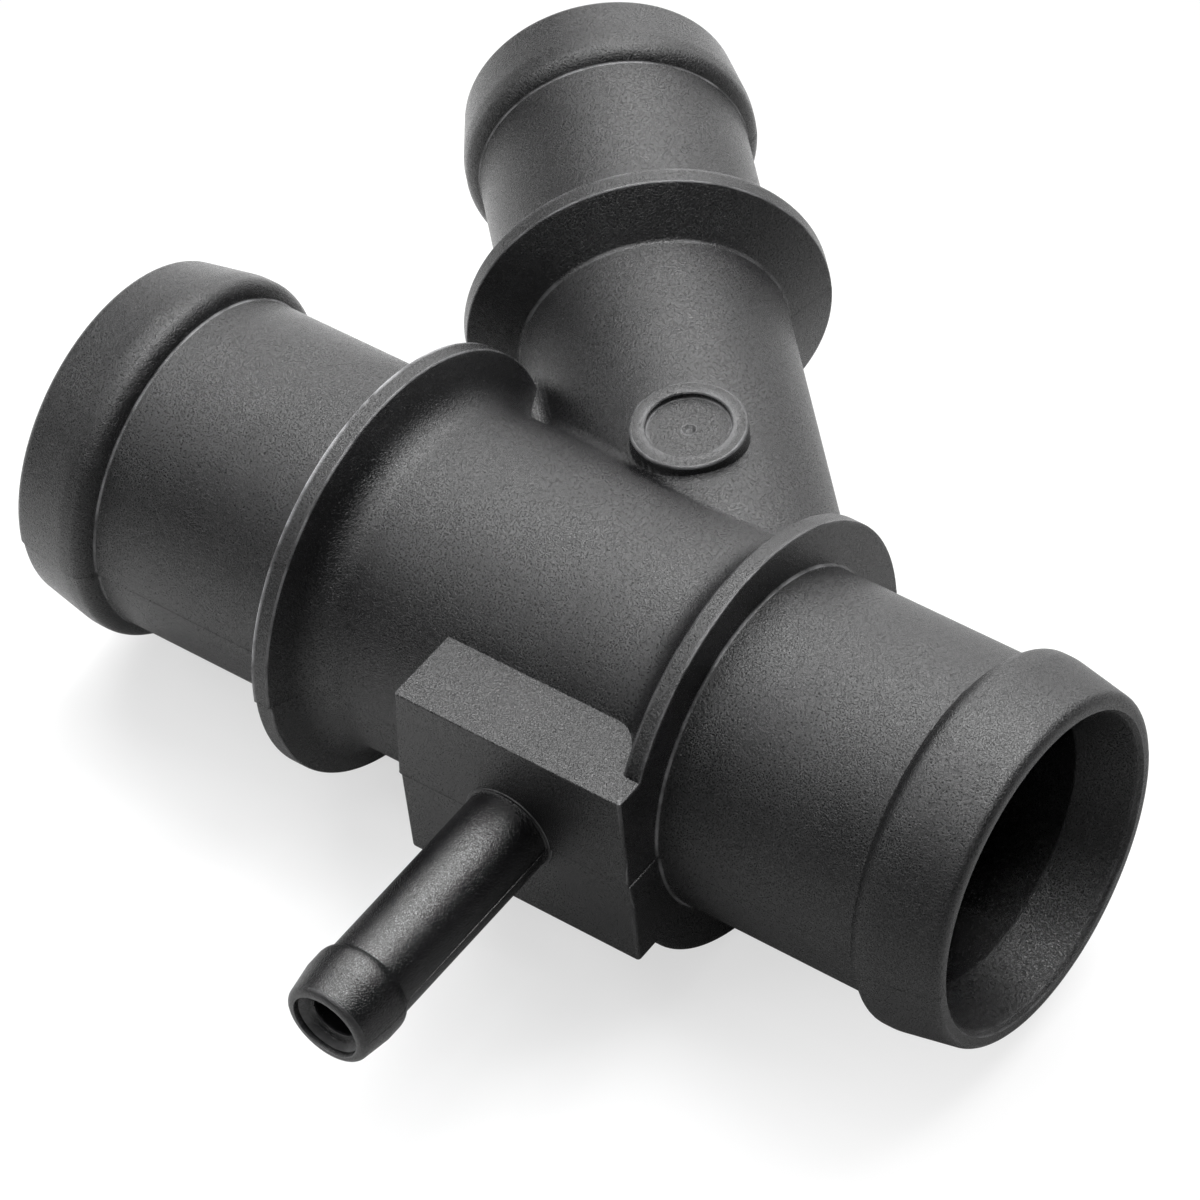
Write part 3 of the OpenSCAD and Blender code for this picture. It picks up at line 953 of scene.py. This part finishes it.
class PIPE_OT_moulding(bpy.types.Operator):
    """Builds the one-piece moulding from revolved outlines, block and waterways"""

    bl_idname = "pipe.moulding"
    bl_label = "Build Moulding"

    def execute(self, context):
        scene = context.scene
        run, branch, side, detail = (scene.pipe_run, scene.pipe_branch, scene.pipe_side,
                                     scene.pipe_moulding)
        skin = nylon(scene.pipe_finish, -side.front)
        body = run_outside(run, detail)
        for shape in (
            branch_outside(branch, detail),
            crotch_fillet(run, branch),
            crotch_plan(run, branch, detail, branch.web_half),
            web_fillet(run, branch, detail),
            boss(branch),
            block(run, side),
            nipple_outside(side),
        ):
            combine(body, shape, "UNION")
        part_moulds(body, detail)
        for cutter in waterways(run, branch, side, detail):
            combine(body, cutter, "DIFFERENCE")
        combine(body, boss_recess(branch), "DIFFERENCE")
        keep_inside(body.data, SEAT_LOW, SEAT_HIGH)
        mark_edges(body.data, run)

        body.name = body.data.name = "moulded_pipe"
        # The block and the web bring faces without a material, so the body gets it as a whole.
        body.data.materials.clear()
        body.data.materials.append(skin)
        shading = body.modifiers.new("Even Shading", "WEIGHTED_NORMAL")
        shading.keep_sharp = True
        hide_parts(NODE)
        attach(body, "root")
        return {"FINISHED"}


def outwards(azimuth, elevation):
    """Unit direction from the part out to what looks at it from these angles."""
    level = math.cos(elevation)
    return Vector((math.sin(azimuth) * level, -math.cos(azimuth) * level, math.sin(elevation)))


def lamp(name, size, radiance, azimuth, elevation, distance, target):
    """A soft lamp, as bright as radiance times white, that looks at target."""
    data = bpy.data.lights.new(name, "AREA")
    data.shape = "RECTANGLE"
    data.size, data.size_y = size
    data.energy = math.pi * size[0] * size[1] * radiance
    obj = link(name, data)
    back = outwards(math.radians(azimuth), math.radians(elevation))
    obj.location = target + back * distance
    obj.rotation_euler = back.to_track_quat("Z", "Y").to_euler()
    obj.visible_camera = False
    return obj


class PIPE_OT_studio(bpy.types.Operator):
    """Sets up the pale floor, the soft lamps, the white background and the camera"""

    bl_idname = "pipe.studio"
    bl_label = "Build Studio"

    def execute(self, context):
        scene = context.scene
        studio = scene.pipe_studio
        centre = (SEAT_LOW + SEAT_HIGH) / 2
        self.add_floor(studio, centre)
        self.add_lamps(centre)
        self.add_world(scene, studio)
        self.add_camera(scene, studio)
        scene.view_settings.view_transform = "Standard"
        return {"FINISHED"}

    @staticmethod
    def add_floor(studio, centre):
        """A wide square under the part, with its origin a little left of the part's middle."""
        reach, offset = 3.0, 20 * MM
        mesh = bpy.data.meshes.new("floor")
        mesh.from_pydata([(-reach, -reach, 0), (reach, -reach, 0), (reach, reach, 0),
                          (-reach, reach, 0)], [], [(0, 1, 2, 3)])
        floor = link("floor", mesh)
        floor.location = (centre.x - offset, centre.y, SEAT_LOW.z)
        mesh.materials.append(floor_material(studio))

    @staticmethod
    def add_lamps(centre):
        """The soft cards of RINGS, all at one distance."""
        for elevation, width, cards in RINGS:
            for azimuth, radiance in cards.items():
                lamp(f"Card {elevation} {azimuth}", (width, CARD_HEIGHT), radiance, azimuth,
                     elevation, CARD_DISTANCE, centre)

    @staticmethod
    def add_world(scene, studio):
        """White where the camera sees it, a weak grey light for everything else."""
        world = bpy.data.worlds.new("Studio")
        world.use_nodes = True
        nodes, links = world.node_tree.nodes, world.node_tree.links
        plain = nodes["Background"]
        plain.inputs["Color"].default_value = (1, 1, 1, 1)
        plain.inputs["Strength"].default_value = studio.ambient
        white = nodes.new("ShaderNodeBackground")
        white.inputs["Color"].default_value = (1, 1, 1, 1)
        path = nodes.new("ShaderNodeLightPath")
        seen = math_node(nodes, "MAXIMUM", path.outputs["Is Camera Ray"],
                         path.outputs["Is Transmission Ray"])
        mix = nodes.new("ShaderNodeMixShader")
        links.new(seen, mix.inputs[0])
        links.new(plain.outputs[0], mix.inputs[1])
        links.new(white.outputs[0], mix.inputs[2])
        links.new(mix.outputs[0], nodes["World Output"].inputs["Surface"])
        scene.world = world

    @staticmethod
    def add_camera(scene, studio):
        """The camera, placed round its target by azimuth, elevation and roll."""
        roll = studio.roll
        back = outwards(studio.azimuth, studio.elevation)
        right = Vector((math.cos(studio.azimuth), math.sin(studio.azimuth), 0))
        up = back.cross(right)
        across = right * math.cos(roll) + up * math.sin(roll)
        upright = up * math.cos(roll) - right * math.sin(roll)
        place = Vector((studio.target_x, studio.target_y, 0)) + back * studio.distance
        camera = bpy.data.cameras.new("Camera")
        camera.sensor_width = 36
        camera.lens = studio.lens
        camera.clip_start, camera.clip_end = 0.01, 20
        obj = link("Camera", camera)
        obj.matrix_world = Matrix((across, upright, back)).transposed().to_4x4()
        obj.location = place
        scene.camera = obj


class PIPE_PT_panel(bpy.types.Panel):
    """Lists the pipe's sizes, finish and build steps"""

    bl_idname = "PIPE_PT_panel"
    bl_label = "Coolant Distributor Pipe"
    bl_space_type = "VIEW_3D"
    bl_region_type = "UI"
    bl_category = "Coolant Pipe"

    def draw(self, context):
        for name, operator in (("pipe_run", None), ("pipe_branch", None), ("pipe_side", None),
                               ("pipe_moulding", None), ("pipe_finish", "pipe.moulding"),
                               ("pipe_studio", "pipe.studio")):
            group = getattr(context.scene, name)
            box = self.layout.box()
            box.label(text=group.bl_rna.description)
            for key in group.__annotations__:
                box.prop(group, key)
            if operator:
                box.operator(operator)


GROUPS = {
    "pipe_run": PIPE_PG_run,
    "pipe_branch": PIPE_PG_branch,
    "pipe_side": PIPE_PG_side,
    "pipe_moulding": PIPE_PG_moulding,
    "pipe_finish": PIPE_PG_finish,
    "pipe_studio": PIPE_PG_studio,
}
CLASSES = (*GROUPS.values(), PIPE_OT_moulding, PIPE_OT_studio, PIPE_PT_panel)


def register():
    """Registers the classes and hangs the property groups on the scene."""
    for cls in CLASSES:
        bpy.utils.register_class(cls)
    for name, group in GROUPS.items():
        setattr(bpy.types.Scene, name, bpy.props.PointerProperty(type=group))


def unregister():
    """Takes away what register added."""
    for name in GROUPS:
        delattr(bpy.types.Scene, name)
    for cls in reversed(CLASSES):
        bpy.utils.unregister_class(cls)


def main():
    """Builds everything."""
    register()
    bpy.ops.pipe.moulding()
    bpy.ops.pipe.studio()
    bpy.context.view_layer.update()


if __name__ == "__main__":
    main()
